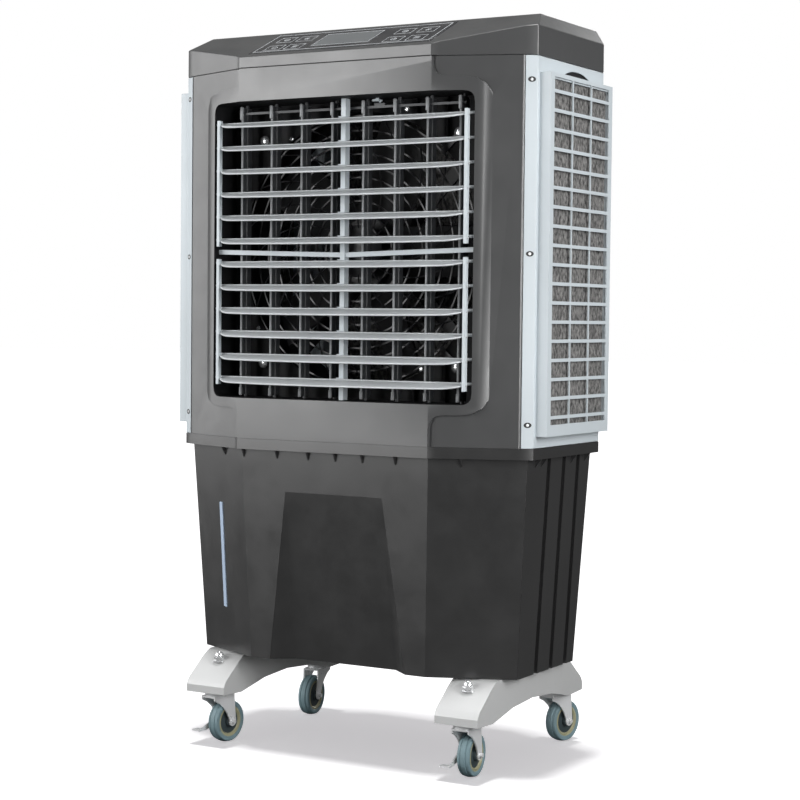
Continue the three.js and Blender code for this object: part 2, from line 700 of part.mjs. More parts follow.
// The tank's outer form drawn in by a wall thickness, between two heights.
function tankForm(insetX, insetY, bottom, top) {
  const ring = ({ frontHalf, frontY, cornerX, cornerY }, z) => [
    [frontHalf - insetX / 2, frontY - insetY],
    [cornerX - insetX, cornerY - insetY / 2],
  ].flatMap(([x, y]) => [[x, y, z], [x, -y, z]]);
  return hull(mirroredPairs([...ring(TANK_FOOT, bottom), ...ring(TANK_RIM, top)]));
}

// Wedge pressed into the tank's front: flush at its top edge, deepest at the bottom.
function frontPress(grow) {
  const top = 456 + grow;
  return hull(mirroredPairs([
    [96 + grow, -182.7 + grow, top],
    [101 + grow, -138 + grow, TANK_BOTTOM - 5],
    [136 + grow, -167 + grow, TANK_BOTTOM - 5],
    [139 + grow, -190, TANK_BOTTOM - 5],
    [97 + grow, -190, top],
  ]));
}

const sideLean = Math.atan((TANK_RIM.cornerX - TANK_FOOT.cornerX) / TANK_HEIGHT);

function sideGroove(y, side) {
  const groove = boxGeometry(-11, 11, y - 6.5, y + 6.5, -TANK_HEIGHT / 2 - 30, TANK_HEIGHT / 2 + 4);
  const middleX = (TANK_FOOT.cornerX + TANK_RIM.cornerX) / 2;
  return solidOf(groove.rotateY(side * sideLean).translate(side * (middleX + 1), 0, TANK_BOTTOM + TANK_HEIGHT / 2));
}

// The sight window follows the slanted front left corner of the tank.
const WINDOW_X = -250;
const WINDOW_LOW = 241;
const WINDOW_HIGH = 428;

function windowSlab(grow, inward, outward) {
  const corner = new THREE.Vector3(-TANK_FOOT.frontHalf, -TANK_FOOT.frontY, TANK_BOTTOM);
  const along = new THREE.Vector3(-TANK_FOOT.cornerX, -TANK_FOOT.cornerY, TANK_BOTTOM).sub(corner).normalize();
  const rising = new THREE.Vector3(-TANK_RIM.frontHalf, -TANK_RIM.frontY, BAND_BOTTOM).sub(corner);
  const out = new THREE.Vector3().crossVectors(rising, along).normalize().negate();
  const level = new THREE.Vector3().crossVectors(out, along).normalize();
  const middleZ = (WINDOW_LOW + WINDOW_HIGH) / 2;
  const faceY = corner.y - (out.x * (WINDOW_X - corner.x) + out.z * (middleZ - corner.z)) / out.y;
  const halfTall = (WINDOW_HIGH - WINDOW_LOW) / 2 + grow;
  const slab = boxGeometry(-4.5 - grow, 4.5 + grow, -halfTall, halfTall, -inward, outward);
  slab.applyMatrix4(new THREE.Matrix4().makeBasis(along, level, out));
  return solidOf(slab.translate(WINDOW_X, faceY, middleZ));
}

const GROOVES_Y = [-39.8, 17.7, 73.2];

function waterTank() {
  const outer = tankForm(0, 0, TANK_BOTTOM, BAND_BOTTOM + 1);
  const band = join(
    prismZ(cabinetOutline, BAND_BOTTOM, BAND_TOP), prismZ(raisedStrip, BAND_BOTTOM, BAND_TOP));
  const cavity = cut(tankForm(16, 5, TANK_BOTTOM + 4, BAND_TOP + 6), frontPress(4));
  const grooves = [-1, 1].flatMap((side) => GROOVES_Y.map((y) => sideGroove(y, side)));
  const body = cut(outer, frontPress(0), ...grooves);
  return cut(join(body, band), cavity, windowSlab(GAP, 2, 12));
}

place('water_tank', waterTank(), TANK);
place('level_window', windowSlab(0, 1.6, 0.4), WINDOW);

const PUMP_X = -200;
const PUMP_Y = 80;
const pump = join(
  block(PUMP_X - 32, PUMP_X + 32, PUMP_Y - 30, PUMP_Y + 30, TANK_BOTTOM + 4.5, TANK_BOTTOM + 62),
  rodZ(PUMP_X, PUMP_Y, 24, TANK_BOTTOM + 60, TANK_BOTTOM + 84, 12),
);
place('water_pump', pump, BLACK);

// Riser pipe and the trough that wets the three pads.
function waterDistributor() {
  const low = 1152;
  const high = 1168;
  const trough = prismZ(outline([
    [-322, -95],
    [-296, -95],
    [-296, 128],
    [296, 128],
    [296, -95],
    [322, -95],
    [322, 132],
    [280, 152],
    [-280, 152],
    [-322, 132],
  ]), low, high);
  const riser = rodZ(PUMP_X, PUMP_Y, 9, TANK_BOTTOM + 84 + GAP, low + 8, 12);
  const branch = block(-300, PUMP_X + 10, PUMP_Y - 10, PUMP_Y + 10, low, high);
  return join(trough, riser, branch);
}

place('water_distributor', waterDistributor(), WHITE);

// ---------------------------------------------------------------- feet

function foot() {
  const shape = new THREE.Shape();
  shape.moveTo(-FOOT_END, 95);
  shape.lineTo(-FOOT_END, 108);
  shape.quadraticCurveTo(-196, 117, -188, 123);
  shape.lineTo(-164, 141);
  shape.quadraticCurveTo(-146, 156, -130, FOOT_TOP);
  shape.lineTo(130, FOOT_TOP);
  shape.quadraticCurveTo(146, 156, 164, 141);
  shape.lineTo(188, 123);
  shape.quadraticCurveTo(196, 117, FOOT_END, 108);
  shape.lineTo(FOOT_END, 95);
  shape.lineTo(146, 93);
  shape.quadraticCurveTo(0, 133, -146, 93);
  shape.closePath();
  const bar = prismX(shape, -FOOT_HALF, FOOT_HALF);
  const hollow = prismX(outline([
    [-122, 80],
    [122, 80],
    [122, 154],
    [-122, 154],
  ]), -FOOT_HALF + 5, FOOT_HALF - 5);
  return geometryOf(cut(bar, hollow));
}

const footGeometry = foot();
[['left', -1], ['right', 1]].forEach(([name, side]) => {
  place(`foot_${name}`, footGeometry, WHITE).position.x = side * FOOT_X;
});

// ---------------------------------------------------------------- casters

// Fork about its kingpin, trailing towards +Y: raceway, crown, two arms and the axle.
function casterFork() {
  const raceway = rodZ(0, 0, 20, 86, 92.2, 20);
  const crown = block(-FORK_OUTSIDE, FORK_OUTSIDE, -21, 30, 84, 87);
  const arm = new THREE.Shape();
  arm.moveTo(-21, 87);
  arm.lineTo(-21, 80);
  arm.quadraticCurveTo(8, 70, TRAIL - 8, 40);
  arm.absarc(TRAIL, WHEEL_R, 8.5, Math.PI * 0.9, Math.PI * 2.05, false);
  arm.lineTo(TRAIL + 4, 87);
  arm.closePath();
  const leftArm = prismX(arm, -FORK_OUTSIDE, -FORK_INSIDE);
  const rightArm = prismX(arm, FORK_INSIDE, FORK_OUTSIDE);
  const axle = rodX(TRAIL, WHEEL_R, 4, -FORK_OUTSIDE - 5, FORK_OUTSIDE + 5);
  return geometryOf(join(raceway, crown, leftArm, rightArm, axle));
}

// Wheel with two tread grooves and a dished hub, about its own axle along X.
function casterWheel() {
  const profile = [
    [4.6, -12.6],
    [11, -12.6],
    [13, -6],
    [24, -6],
    [26, -9.5],
    [33, -WHEEL_HALF],
    [36.6, -9],
    [WHEEL_R, -5],
    [36.3, -3.6],
    [WHEEL_R, -2.2],
    [WHEEL_R, 2.2],
    [36.3, 3.6],
    [WHEEL_R, 5],
    [36.6, 9],
    [33, WHEEL_HALF],
    [26, 9.5],
    [24, 6],
    [13, 6],
    [11, 12.6],
    [4.6, 12.6],
    [4.6, -12.6],
  ].map(([radius, along]) => new THREE.Vector2(radius, along));
  const wheel = new THREE.LatheGeometry(profile, 18);
  return geometryOf(solidOf(wheel.rotateZ(-Math.PI / 2)));
}

// Brake lever about the axle: one arm outside the fork, with a toe tab bent outwards beside the wheel.
function brakePedal() {
  const side = new THREE.Shape();
  side.moveTo(8, 0);
  side.absarc(0, 0, 8, 0, Math.PI / 2, false);
  side.lineTo(-30, -4);
  side.lineTo(-52, -12);
  side.lineTo(-52, -15);
  side.lineTo(-36, -15);
  side.lineTo(-4, -7);
  side.closePath();
  const inner = -FORK_OUTSIDE - 0.6;
  const outer = inner - 2.4;
  const tabReach = outer - 15;
  const arm = prismX(side, outer, inner);
  const tab = prismX(outline([
    [-38, -12],
    [-52, -12],
    [-52, -15],
    [-38, -15],
  ]), tabReach, inner);
  return geometryOf(cut(join(arm, tab), rodX(0, 0, 4.6, outer - 1, inner + 1)));
}

const forkGeometry = casterFork();
const wheelGeometry = casterWheel();
const pedalGeometry = brakePedal();
const casters = [
  { name: 'front_left', x: -FOOT_X, y: -KINGPIN_Y, yaw: -7, braked: true },
  { name: 'front_right', x: FOOT_X, y: -KINGPIN_Y, yaw: 4.4, braked: true },
  { name: 'rear_left', x: -FOOT_X, y: KINGPIN_Y, yaw: -174, braked: false },
  { name: 'rear_right', x: FOOT_X, y: KINGPIN_Y, yaw: -13, braked: false },
];
for (const { name, x, y, yaw, braked } of casters) {
  const caster = new THREE.Group();
  caster.position.set(x, y, 0);
  caster.rotation.z = THREE.MathUtils.degToRad(yaw);
  cabinet.add(caster);
  place(`caster_fork_${name}`, forkGeometry, ZINC, caster);
  place(`caster_wheel_${name}`, wheelGeometry, RUBBER, caster).position.set(0, TRAIL, WHEEL_R);
  if (braked) {
    place(`brake_pedal_${name}`, pedalGeometry, ZINC, caster).position.set(0, TRAIL, WHEEL_R);
  }
}

export default cooler;
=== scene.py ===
# %% [markdown]
# # Evaporative cooler on casters
# The frame below is the cooler's measured model: every piece has its place and its joint already.
# This lesson adds what a measured model lacks: rounded edges, small fixed parts, and surfaces.

# %% Load the frame
import math

import bmesh
import bpy
from mathutils import Matrix, Vector


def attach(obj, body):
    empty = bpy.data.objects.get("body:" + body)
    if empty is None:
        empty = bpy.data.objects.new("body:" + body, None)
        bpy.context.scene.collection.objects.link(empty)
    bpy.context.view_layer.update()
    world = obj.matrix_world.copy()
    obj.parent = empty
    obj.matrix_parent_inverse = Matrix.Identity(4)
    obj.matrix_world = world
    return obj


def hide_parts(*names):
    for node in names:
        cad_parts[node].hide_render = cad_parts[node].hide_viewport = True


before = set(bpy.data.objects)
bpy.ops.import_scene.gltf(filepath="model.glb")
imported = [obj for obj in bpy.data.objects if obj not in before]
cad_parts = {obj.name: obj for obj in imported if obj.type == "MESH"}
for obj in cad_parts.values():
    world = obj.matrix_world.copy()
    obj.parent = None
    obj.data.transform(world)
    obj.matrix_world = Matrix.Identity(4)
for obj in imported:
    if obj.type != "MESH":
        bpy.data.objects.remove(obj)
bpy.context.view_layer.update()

# %% [markdown]
# Sizes are easiest to read in millimetres from the middle of the cabinet. The frame is in metres from the middle
# of the footprint, which lies a little further back because the casters trail. One function does the change.

# %% From cabinet millimetres to the frame
CABINET_Y = -14.49
FAN_Z = 869


def at(x, y, z):
    return Vector((x, y + CABINET_Y, z)) * 0.001


def mm(value):
    return value * 0.001


print("cabinet middle in the frame:", at(0, 0, 0))

# %% [markdown]
# The camera stands well back, a little above the middle of the cooler, and sees its front and its right side.
# A long lens keeps the upright edges nearly parallel, as in a catalogue picture.

# %% Camera
turn, rise, roll = math.radians(30.275), math.radians(2.411), math.radians(0.59)
ahead = Vector((-math.sin(turn) * math.cos(rise), math.cos(turn) * math.cos(rise), -math.sin(rise)))
level_right = Vector((math.cos(turn), math.sin(turn), 0))
level_up = level_right.cross(ahead)
camera_right = level_right * math.cos(roll) + level_up * math.sin(roll)
camera_up = level_up * math.cos(roll) - level_right * math.sin(roll)
lens = bpy.data.cameras.new("camera")
lens.lens = 86.66
lens.sensor_width = 36
camera = bpy.data.objects.new("camera", lens)
placed = Matrix((camera_right, camera_up, -ahead)).transposed().to_4x4()
placed.translation = at(1730, -2924.3, 754)
camera.matrix_world = placed
bpy.context.collection.objects.link(camera)
bpy.context.scene.camera = camera
print("camera at", tuple(round(v, 3) for v in placed.translation))

# %% [markdown]
# A pale floor and a pale room give the white ground of a studio. Dark plastic shows its shape by what it mirrors,
# so each slanted face gets a lamp of its own. The large one at the front left is the main light. A narrow one at
# the right front draws the bright line down the raised surround, and one behind keeps the back readable. A soft
# sun from above makes the shadow, and the lamps leave the floor alone so that it stays even.

# %% Floor, room and lamps
scene = bpy.context.scene
scene.view_settings.view_transform = "Standard"


def soft_lamp(name, place, target, width, height, power):
    lamp_data = bpy.data.lights.new(name, "AREA")
    lamp_data.shape = "RECTANGLE"
    lamp_data.size = width
    lamp_data.size_y = height
    lamp_data.energy = power
    lamp = bpy.data.objects.new(name, lamp_data)
    lamp.location = place
    lamp.rotation_euler = (Vector(target) - Vector(place)).to_track_quat("-Z", "Y").to_euler()
    bpy.context.collection.objects.link(lamp)
    return lamp


front_lamp = soft_lamp("lamp_front_left", (-2.35, -2.75, 1.5), (0, 0, 1.0), 2.9, 2.3, 118)
left_lamp = soft_lamp("lamp_left", (-3.3, -0.9, 1.3), (0, 0, 0.9), 1.3, 2.2, 26)
line_lamp = soft_lamp("lamp_right_front", (2.25, -1.9, 0.8), (0.25, -0.15, 0.8), 0.35, 0.86, 24)
right_lamp = soft_lamp("lamp_right", (3.0, -0.85, 1.7), (0.2, 0, 1.0), 0.8, 1.8, 24)
right_lamp.data.spread = math.radians(100)
back_lamp = soft_lamp("lamp_back", (-0.4, 3.4, 1.6), (0, 0, 0.9), 1.4, 1.8, 70)
overhead = bpy.data.lights.new("overhead", "SUN")
overhead.energy = 2.45
overhead.angle = math.radians(7)
overhead_lamp = bpy.data.objects.new("overhead", overhead)
overhead_lamp.rotation_euler = Vector((0.0, 0.03, -1)).to_track_quat("-Z", "Y").to_euler()
bpy.context.collection.objects.link(overhead_lamp)

world = bpy.data.worlds.new("room")
scene.world = world
world.use_nodes = True
room_tree = world.node_tree
room = room_tree.nodes["Background"]
seen = room_tree.nodes.new("ShaderNodeLightPath").outputs["Is Camera Ray"]
strength = room_tree.nodes.new("ShaderNodeMapRange")  # the room looks white, but lights the cooler only dimly
strength.inputs["To Min"].default_value = 0.14
strength.inputs["To Max"].default_value = 1.0
room_tree.links.new(seen, strength.inputs["Value"])
room_tree.links.new(strength.outputs["Result"], room.inputs["Strength"])
room.inputs["Color"].default_value = (1, 1, 1, 1)

floor_mesh = bmesh.new()
bmesh.ops.create_grid(floor_mesh, x_segments=1, y_segments=1, size=30)
floor_data = bpy.data.meshes.new("floor")
floor_mesh.to_mesh(floor_data)
floor_mesh.free()
floor = bpy.data.objects.new("floor", floor_data)
bpy.context.collection.objects.link(floor)
spared = bpy.data.collections.new("not_lit_by_the_lamps")
spared.objects.link(floor)
spared.collection_objects[0].light_linking.link_state = "EXCLUDE"
for lamp in (front_lamp, left_lamp, line_lamp, right_lamp, back_lamp):
    lamp.light_linking.receiver_collection = spared
print("lamps and floor are in")

# %% [markdown]
# ## Surfaces
# Every material here is built from nodes, and most lines of such a script only create a node and wire its inputs.
# The helper below does both at once. A key such as i0 means the first input, for nodes whose inputs share a name.

# %% A helper that wires nodes in one line


def node(tree, kind, settings=None, **values):
    made = tree.nodes.new(kind)
    for key, value in (settings or {}).items():
        setattr(made, key, value)
    for key, value in values.items():
        numbered = key[0] == "i" and key[1:].isdigit()
        socket = made.inputs[int(key[1:]) if numbered else key.replace("_", " ")]
        if isinstance(value, bpy.types.NodeSocket):
            tree.links.new(value, socket)
        else:
            socket.default_value = value
    return made


def new_group(name, inputs, outputs):
    tree = bpy.data.node_groups.new(name, "ShaderNodeTree")
    for title, kind, value in inputs:
        socket = tree.interface.new_socket(title, in_out="INPUT", socket_type=kind)
        socket.default_value = value
    for title, kind in outputs:
        tree.interface.new_socket(title, in_out="OUTPUT", socket_type=kind)
    return tree, tree.nodes.new("NodeGroupInput"), tree.nodes.new("NodeGroupOutput")


FLOAT, COLOR = "NodeSocketFloat", "NodeSocketColor"
print("node helpers ready")

# %% [markdown]
# Moulded plastic is never one flat colour. It has a fine grain, faint patches where the melt cooled, a little dust
# on faces that look up, and it is duller where hands rub it. The effects are shared by all the plastics and metals,
# so they are one node group that gives out a colour, a roughness and a height.

# %% Moulded surface group: colour patches, grain and dust
moulded, given, made_out = new_group(
    "moulded_surface",
    [("Color", COLOR, (0.1, 0.1, 0.1, 1)), ("Roughness", FLOAT, 0.4), ("Grain Scale", FLOAT, 900.0),
     ("Patches", FLOAT, 0.06), ("Dust", FLOAT, 0.08)],
    [("Color", COLOR), ("Roughness", FLOAT), ("Height", FLOAT)],
)
place = node(moulded, "ShaderNodeTexCoord").outputs["Object"]
patch = node(moulded, "ShaderNodeTexNoise", Vector=place, Scale=3.2, Detail=4.0, Roughness=0.55).outputs["Fac"]
smudge = node(moulded, "ShaderNodeTexNoise", Vector=place, Scale=17.0, Detail=5.0, Roughness=0.65).outputs["Fac"]
grain_scale, patches = given.outputs["Grain Scale"], given.outputs["Patches"]
grain = node(moulded, "ShaderNodeTexNoise", Vector=place, Scale=grain_scale, Detail=2.0).outputs["Fac"]
low = node(moulded, "ShaderNodeMath", {"operation": "SUBTRACT"}, i0=1.0, i1=patches).outputs[0]
high = node(moulded, "ShaderNodeMath", {"operation": "ADD"}, i0=1.0, i1=patches).outputs[0]
lift = node(moulded, "ShaderNodeMapRange", Value=patch, From_Min=0.3, From_Max=0.7, To_Min=low, To_Max=high)
toned = node(moulded, "ShaderNodeVectorMath", {"operation": "SCALE"}, i0=given.outputs["Color"],
             Scale=lift.outputs[0]).outputs[0]
normal = node(moulded, "ShaderNodeNewGeometry").outputs["Normal"]
facing_up = node(moulded, "ShaderNodeSeparateXYZ", i0=normal).outputs["Z"]
dust_top = node(moulded, "ShaderNodeMapRange", Value=facing_up, From_Min=0.35, From_Max=1.0).outputs[0]
dust_spots = node(moulded, "ShaderNodeMapRange", Value=smudge, From_Min=0.35, From_Max=0.75).outputs[0]
dust = node(moulded, "ShaderNodeMath", {"operation": "MULTIPLY"}, i0=dust_top, i1=dust_spots).outputs[0]
dust = node(moulded, "ShaderNodeMath", {"operation": "MULTIPLY"}, i0=dust, i1=given.outputs["Dust"]).outputs[0]
dusty = node(moulded, "ShaderNodeMix", {"data_type": "RGBA"}, i0=dust, i6=toned, i7=(0.5, 0.48, 0.45, 1)).outputs[2]
rub = node(moulded, "ShaderNodeMapRange", Value=smudge, From_Min=0.3, From_Max=0.7, To_Min=-0.05, To_Max=0.05)
duller = node(moulded, "ShaderNodeMath", {"operation": "ADD"}, i0=given.outputs["Roughness"],
              i1=rub.outputs[0]).outputs[0]
duller = node(moulded, "ShaderNodeMath", {"operation": "ADD", "use_clamp": True}, i0=duller, i1=dust).outputs[0]
for source, name in ((dusty, "Color"), (duller, "Roughness"), (grain, "Height")):
    moulded.links.new(source, made_out.inputs[name])
print("moulded_surface group:", len(moulded.nodes), "nodes")

# %% [markdown]
# Each material is that group with its own colour, roughness and grain. The Principled shader itself stays in the
# material. The floor is separate: the camera sees it as white paper, while everything else sees it as dark, so it
# throws little light up under the cooler.

# %% Materials made with it


def material(name):
    made = bpy.data.materials.new(name)
    made.use_nodes = True
    return made, made.node_tree, made.node_tree.nodes["Principled BSDF"]


def moulded_plastic(name, color, roughness, grain_scale=900.0, patches=0.06, dust=0.08, bump=0.02, metallic=0.0,
                    gloss=0.5):
    made, tree, shader = material(name)
    group = node(tree, "ShaderNodeGroup", {"node_tree": moulded}, Color=(*color, 1), Roughness=roughness,
                 Grain_Scale=grain_scale, Patches=patches, Dust=dust)
    relief = node(tree, "ShaderNodeBump", Height=group.outputs["Height"], Distance=0.0004, Strength=bump)
    tree.links.new(group.outputs["Color"], shader.inputs["Base Color"])
    tree.links.new(group.outputs["Roughness"], shader.inputs["Roughness"])
    tree.links.new(relief.outputs["Normal"], shader.inputs["Normal"])
    shader.inputs["Metallic"].default_value = metallic
    shader.inputs["Specular IOR Level"].default_value = gloss
    return made


DARK = moulded_plastic("dark_shell", (0.058, 0.059, 0.06), 0.34, dust=0.05, bump=0.05, gloss=0.85)
TANK = moulded_plastic("tank_shell", (0.021, 0.021, 0.0212), 0.34, 420.0, 0.15, 0.04, 0.12, gloss=0.95)
WHITE = moulded_plastic("white_shell", (0.52, 0.57, 0.6), 0.42, dust=0.04, bump=0.04)
FOOT = moulded_plastic("foot_shell", (0.47, 0.475, 0.475), 0.4, dust=0.04, bump=0.05)
LOUVRE = moulded_plastic("louvre_plastic", (0.5, 0.525, 0.54), 0.42, dust=0.06, bump=0.03)
VANE = moulded_plastic("vane_plastic", (0.05, 0.053, 0.057), 0.45, dust=0.08, bump=0.04)
# painted highlight: a lighter grey copy of the vane plastic for the bead and bosses
VANE_HIGHLIGHT = moulded_plastic("vane_painted_highlight", (0.3, 0.31, 0.32), 0.4, dust=0.05, bump=0.04)
# painted shade: near-black matte for the faces inside the air duct and the fan deck behind them
DUCT_SHADE = moulded_plastic("duct_painted_shade", (0.012, 0.012, 0.013), 0.65, dust=0.0, bump=0.05, gloss=0.2)
# black plastic for the motor, pump and impeller, and painted shade in the finger notches and screw wells
BLACK_AND_SHADE = moulded_plastic("black_plastic", (0.012, 0.012, 0.013), 0.45, dust=0.03, bump=0.05)
PANEL = moulded_plastic("panel_film", (0.03, 0.031, 0.034), 0.2, 1600.0, 0.05, 0.1, 0.02)
DISPLAY = moulded_plastic("display_window", (0.15, 0.16, 0.165), 0.12, 1600.0, 0.03, 0.05, 0.0)
PRINT = moulded_plastic("key_print", (0.5, 0.52, 0.54), 0.4, 1600.0, 0.04, 0.04, 0.0)
STRIP = moulded_plastic("sight_strip", (0.42, 0.52, 0.66), 0.25, 500.0, 0.08, 0.02, 0.02)
ZINC = moulded_plastic("zinc_steel", (0.8, 0.81, 0.82), 0.3, 260.0, 0.1, 0.03, 0.04, 0.3)
CHROME = moulded_plastic("bright_steel", (0.86, 0.87, 0.88), 0.18, 700.0, 0.05, 0.02, 0.02, 0.75)
TYRE = moulded_plastic("tread_rubber", (0.16, 0.24, 0.265), 0.6, 300.0, 0.1, 0.1, 0.1)
CORE = moulded_plastic("wheel_core", (0.33, 0.32, 0.2), 0.55, 400.0, 0.1, 0.06, 0.06)
HUB = moulded_plastic("hub_recess", (0.035, 0.05, 0.055), 0.5, 400.0, 0.1, 0.08, 0.06)
WIRE = moulded_plastic("guard_wire", (0.02, 0.02, 0.022), 0.3, 900.0, 0.1, 0.04, 0.02)
FLOOR, floor_tree, floor_shader = material("studio_floor")
direct = node(floor_tree, "ShaderNodeLightPath").outputs["Is Camera Ray"]
paper_tone = node(floor_tree, "ShaderNodeMix", {"data_type": "RGBA"}, i0=direct, i6=(0.12, 0.12, 0.12, 1),
                  i7=(0.93, 0.93, 0.93, 1))
floor_tree.links.new(paper_tone.outputs[2], floor_shader.inputs["Base Color"])
floor_shader.inputs["Roughness"].default_value = 0.95
floor_shader.inputs["Specular IOR Level"].default_value = 0.0
glow = node(floor_tree, "ShaderNodeMix", {"data_type": "RGBA"}, i0=direct, i6=(0, 0, 0, 1),
            i7=(0.5, 0.49, 0.505, 1))
floor_tree.links.new(glow.outputs[2], floor_shader.inputs["Emission Color"])
floor_shader.inputs["Emission Strength"].default_value = 1.0
floor.data.materials.append(FLOOR)
print("materials:", len(bpy.data.materials))

# %% [markdown]
# The pads are stacks of corrugated paper, soaked and rough. From the outside they look like mottled grey fibre, so
# fine noise drawn out upwards sets the tone. Two wavy stripes, multiplied, add a hint of the flutes underneath. All
# of it comes from the piece's own place, so a pad that is pulled out takes its pattern along.

# %% Corrugated pad material


FLUTE_PITCH, SHEET_PITCH = 0.015, 0.024


def pad_material(name, axis):
    made, tree, shader = material(name)
    place = node(tree, "ShaderNodeTexCoord").outputs["Object"]
    drawn_out = node(tree, "ShaderNodeMapping", Vector=place, Scale=(210.0, 210.0, 130.0)).outputs[0]
    fibre = node(tree, "ShaderNodeTexNoise", Vector=drawn_out, Scale=1.0, Detail=5.0, Roughness=0.6).outputs["Fac"]
    crumple = node(tree, "ShaderNodeTexNoise", Vector=place, Scale=38.0, Detail=3.0).outputs["Fac"]
    spot = node(tree, "ShaderNodeSeparateXYZ", i0=place)
    across, tall = spot.outputs[axis], spot.outputs["Z"]
    bend = node(tree, "ShaderNodeMath", {"operation": "MULTIPLY"}, i0=crumple, i1=7.0).outputs[0]
    waves = []
    for along, pitch in ((across, FLUTE_PITCH), (tall, SHEET_PITCH)):
        phase = node(tree, "ShaderNodeMath", {"operation": "MULTIPLY_ADD"}, i0=along, i1=math.tau / pitch, i2=bend)
        waves.append(node(tree, "ShaderNodeMath", {"operation": "SINE"}, i0=phase.outputs[0]).outputs[0])
    cell = node(tree, "ShaderNodeMath", {"operation": "MULTIPLY"}, i0=waves[0], i1=waves[1]).outputs[0]
    paper = node(tree, "ShaderNodeMapRange", Value=fibre, From_Min=0.32, From_Max=0.68).outputs[0]
    shade = node(tree, "ShaderNodeMath", {"operation": "MULTIPLY_ADD", "use_clamp": True}, i0=cell, i1=0.16, i2=paper)
    color = node(tree, "ShaderNodeMix", {"data_type": "RGBA"}, i0=shade.outputs[0], i6=(0.026, 0.026, 0.026, 1),
                 i7=(0.27, 0.265, 0.258, 1)).outputs[2]
    relief = node(tree, "ShaderNodeBump", Height=shade.outputs[0], Distance=0.002, Strength=0.7)
    tree.links.new(color, shader.inputs["Base Color"])
    tree.links.new(relief.outputs["Normal"], shader.inputs["Normal"])
    shader.inputs["Roughness"].default_value = 0.9
    return made


PAD_SIDE = pad_material("pad_paper_side", "Y")
PAD_REAR = pad_material("pad_paper_rear", "X")
print("pad paper ready")

# %% [markdown]
# ## Rounded edges
# A moulding has a small radius on every edge, and that radius catches a thin line of light. The measured nodes have
# sharp edges, so a copy of the node is merged, its flat faces are joined up, and its long edges are bevelled.

# %% Turning a bmesh into a finished piece


def finished(name, shape, materials, body, replaced=(), smooth=35.0):
    mesh = bpy.data.meshes.new(name)
    shape.to_mesh(mesh)
    shape.free()
    piece = bpy.data.objects.new(name, mesh)
    bpy.context.collection.objects.link(piece)
    for surface in materials if isinstance(materials, (list, tuple)) else [materials]:
        mesh.materials.append(surface)
    mesh.shade_smooth()
    mesh.set_sharp_from_angle(angle=math.radians(smooth))
    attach(piece, body)
    if replaced:
        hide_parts(*replaced)
    return piece


def middle_of(edge):
    return (edge.verts[0].co + edge.verts[1].co) * 500 - Vector((0, CABINET_Y, 0))


def softened(node_name, width, surface, body="cabinet", segments=2, shortest=6.0, wanted=None, crease=25.0,
             first=(), reshape=None, inside=None):
    shape = bmesh.new()
    shape.from_mesh(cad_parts[node_name].data)
    bmesh.ops.remove_doubles(shape, verts=shape.verts, dist=1e-5)
    bmesh.ops.dissolve_limit(shape, angle_limit=math.radians(0.6), verts=shape.verts, edges=shape.edges)
    if reshape:
        reshape(shape)
    for offset, steps, chooser in (*first, (width, segments, wanted)):
        chosen = [
            edge for edge in shape.edges
            if edge.is_manifold and edge.calc_face_angle(0) > math.radians(crease)
            and edge.calc_length() > mm(shortest) and (chooser is None or chooser(middle_of(edge), edge))
        ]
        if chosen:
            bmesh.ops.bevel(shape, geom=chosen, offset=mm(offset), offset_type="OFFSET", segments=steps,
                            profile=0.5, affect="EDGES", clamp_overlap=True, material=-1)
    if inside:
        for face in shape.faces:
            middle = face.calc_center_median() * 1000 - Vector((0, CABINET_Y, 0))
            face.material_index = int(inside(middle, face))
    piece = finished(node_name + "_moulding", shape, surface, body, [node_name], smooth=40)
    weighted = piece.modifiers.new("weighted", "WEIGHTED_NORMAL")
    weighted.keep_sharp = True


print("edge rounding ready")

# %% [markdown]
# Not every edge wants the same radius. Short functions choose edges by where their middle lies, in millimetres:
# the raised surround gets soft shoulders, the tank's upright corners a wide round, and the feet a rounded back. Two
# more choose faces that get painted shade, a near-black material standing in for the shade inside the air duct and
# in the finger notches, and one presses the notches in deeper.

# %% Which edges and faces are chosen
DUCT_HALF = 262                     # outlet opening and its wall
DUCT_LOW, DUCT_HIGH = 609, 1130
NOTCH_LOW, NOTCH_HIGH = 1140, 1175
NOTCH_FLOOR_X = 345.4
NOTCH_EXTRA = 22.0


def outside_sockets(middle, edge):
    return middle.y < -167.5 or abs(middle.x) > DUCT_HALF


def on_raised_rim(middle):
    beside_outlet = abs(middle.x) < DUCT_HALF and DUCT_LOW < middle.z < DUCT_HIGH
    return 185 < abs(middle.x) < 292 and 552 < middle.z < 1174 and middle.y < -140 and not beside_outlet


def raised_shoulder(middle, edge):
    return on_raised_rim(middle) and edge.is_convex and edge.calc_face_angle(0) > math.radians(8)


def outer_upright(middle, edge):
    return abs(middle.x) > 329 and middle.y < -137 and edge.is_convex


# Faces inside the outlet get painted shade: the near-black material stands in for the shade in the duct.
def duct_shade_faces(middle, face):
    return abs(middle.x) < DUCT_HALF and DUCT_LOW + 1 < middle.z < DUCT_HIGH - 1 and face.normal.y > -0.5


def tank_outside(middle, edge):
    beside_window = -266 < middle.x < -234 and 234 < middle.z < 436 and middle.y < -100
    return edge.is_convex and not beside_window


def tank_corner(middle, edge):
    upright = abs(edge.verts[0].co.z - edge.verts[1].co.z) > 0.2
    return upright and middle.z < 500 and abs(middle.x) > 318 and abs(middle.y) > 100


def deepen_notch(shape):
    for vert in shape.verts:
        x, z = vert.co.x * 1000, vert.co.z * 1000
        if abs(abs(x) - NOTCH_FLOOR_X) < 0.3 and NOTCH_LOW < z < NOTCH_HIGH:
            vert.co.x = math.copysign(mm(NOTCH_FLOOR_X - NOTCH_EXTRA), x)


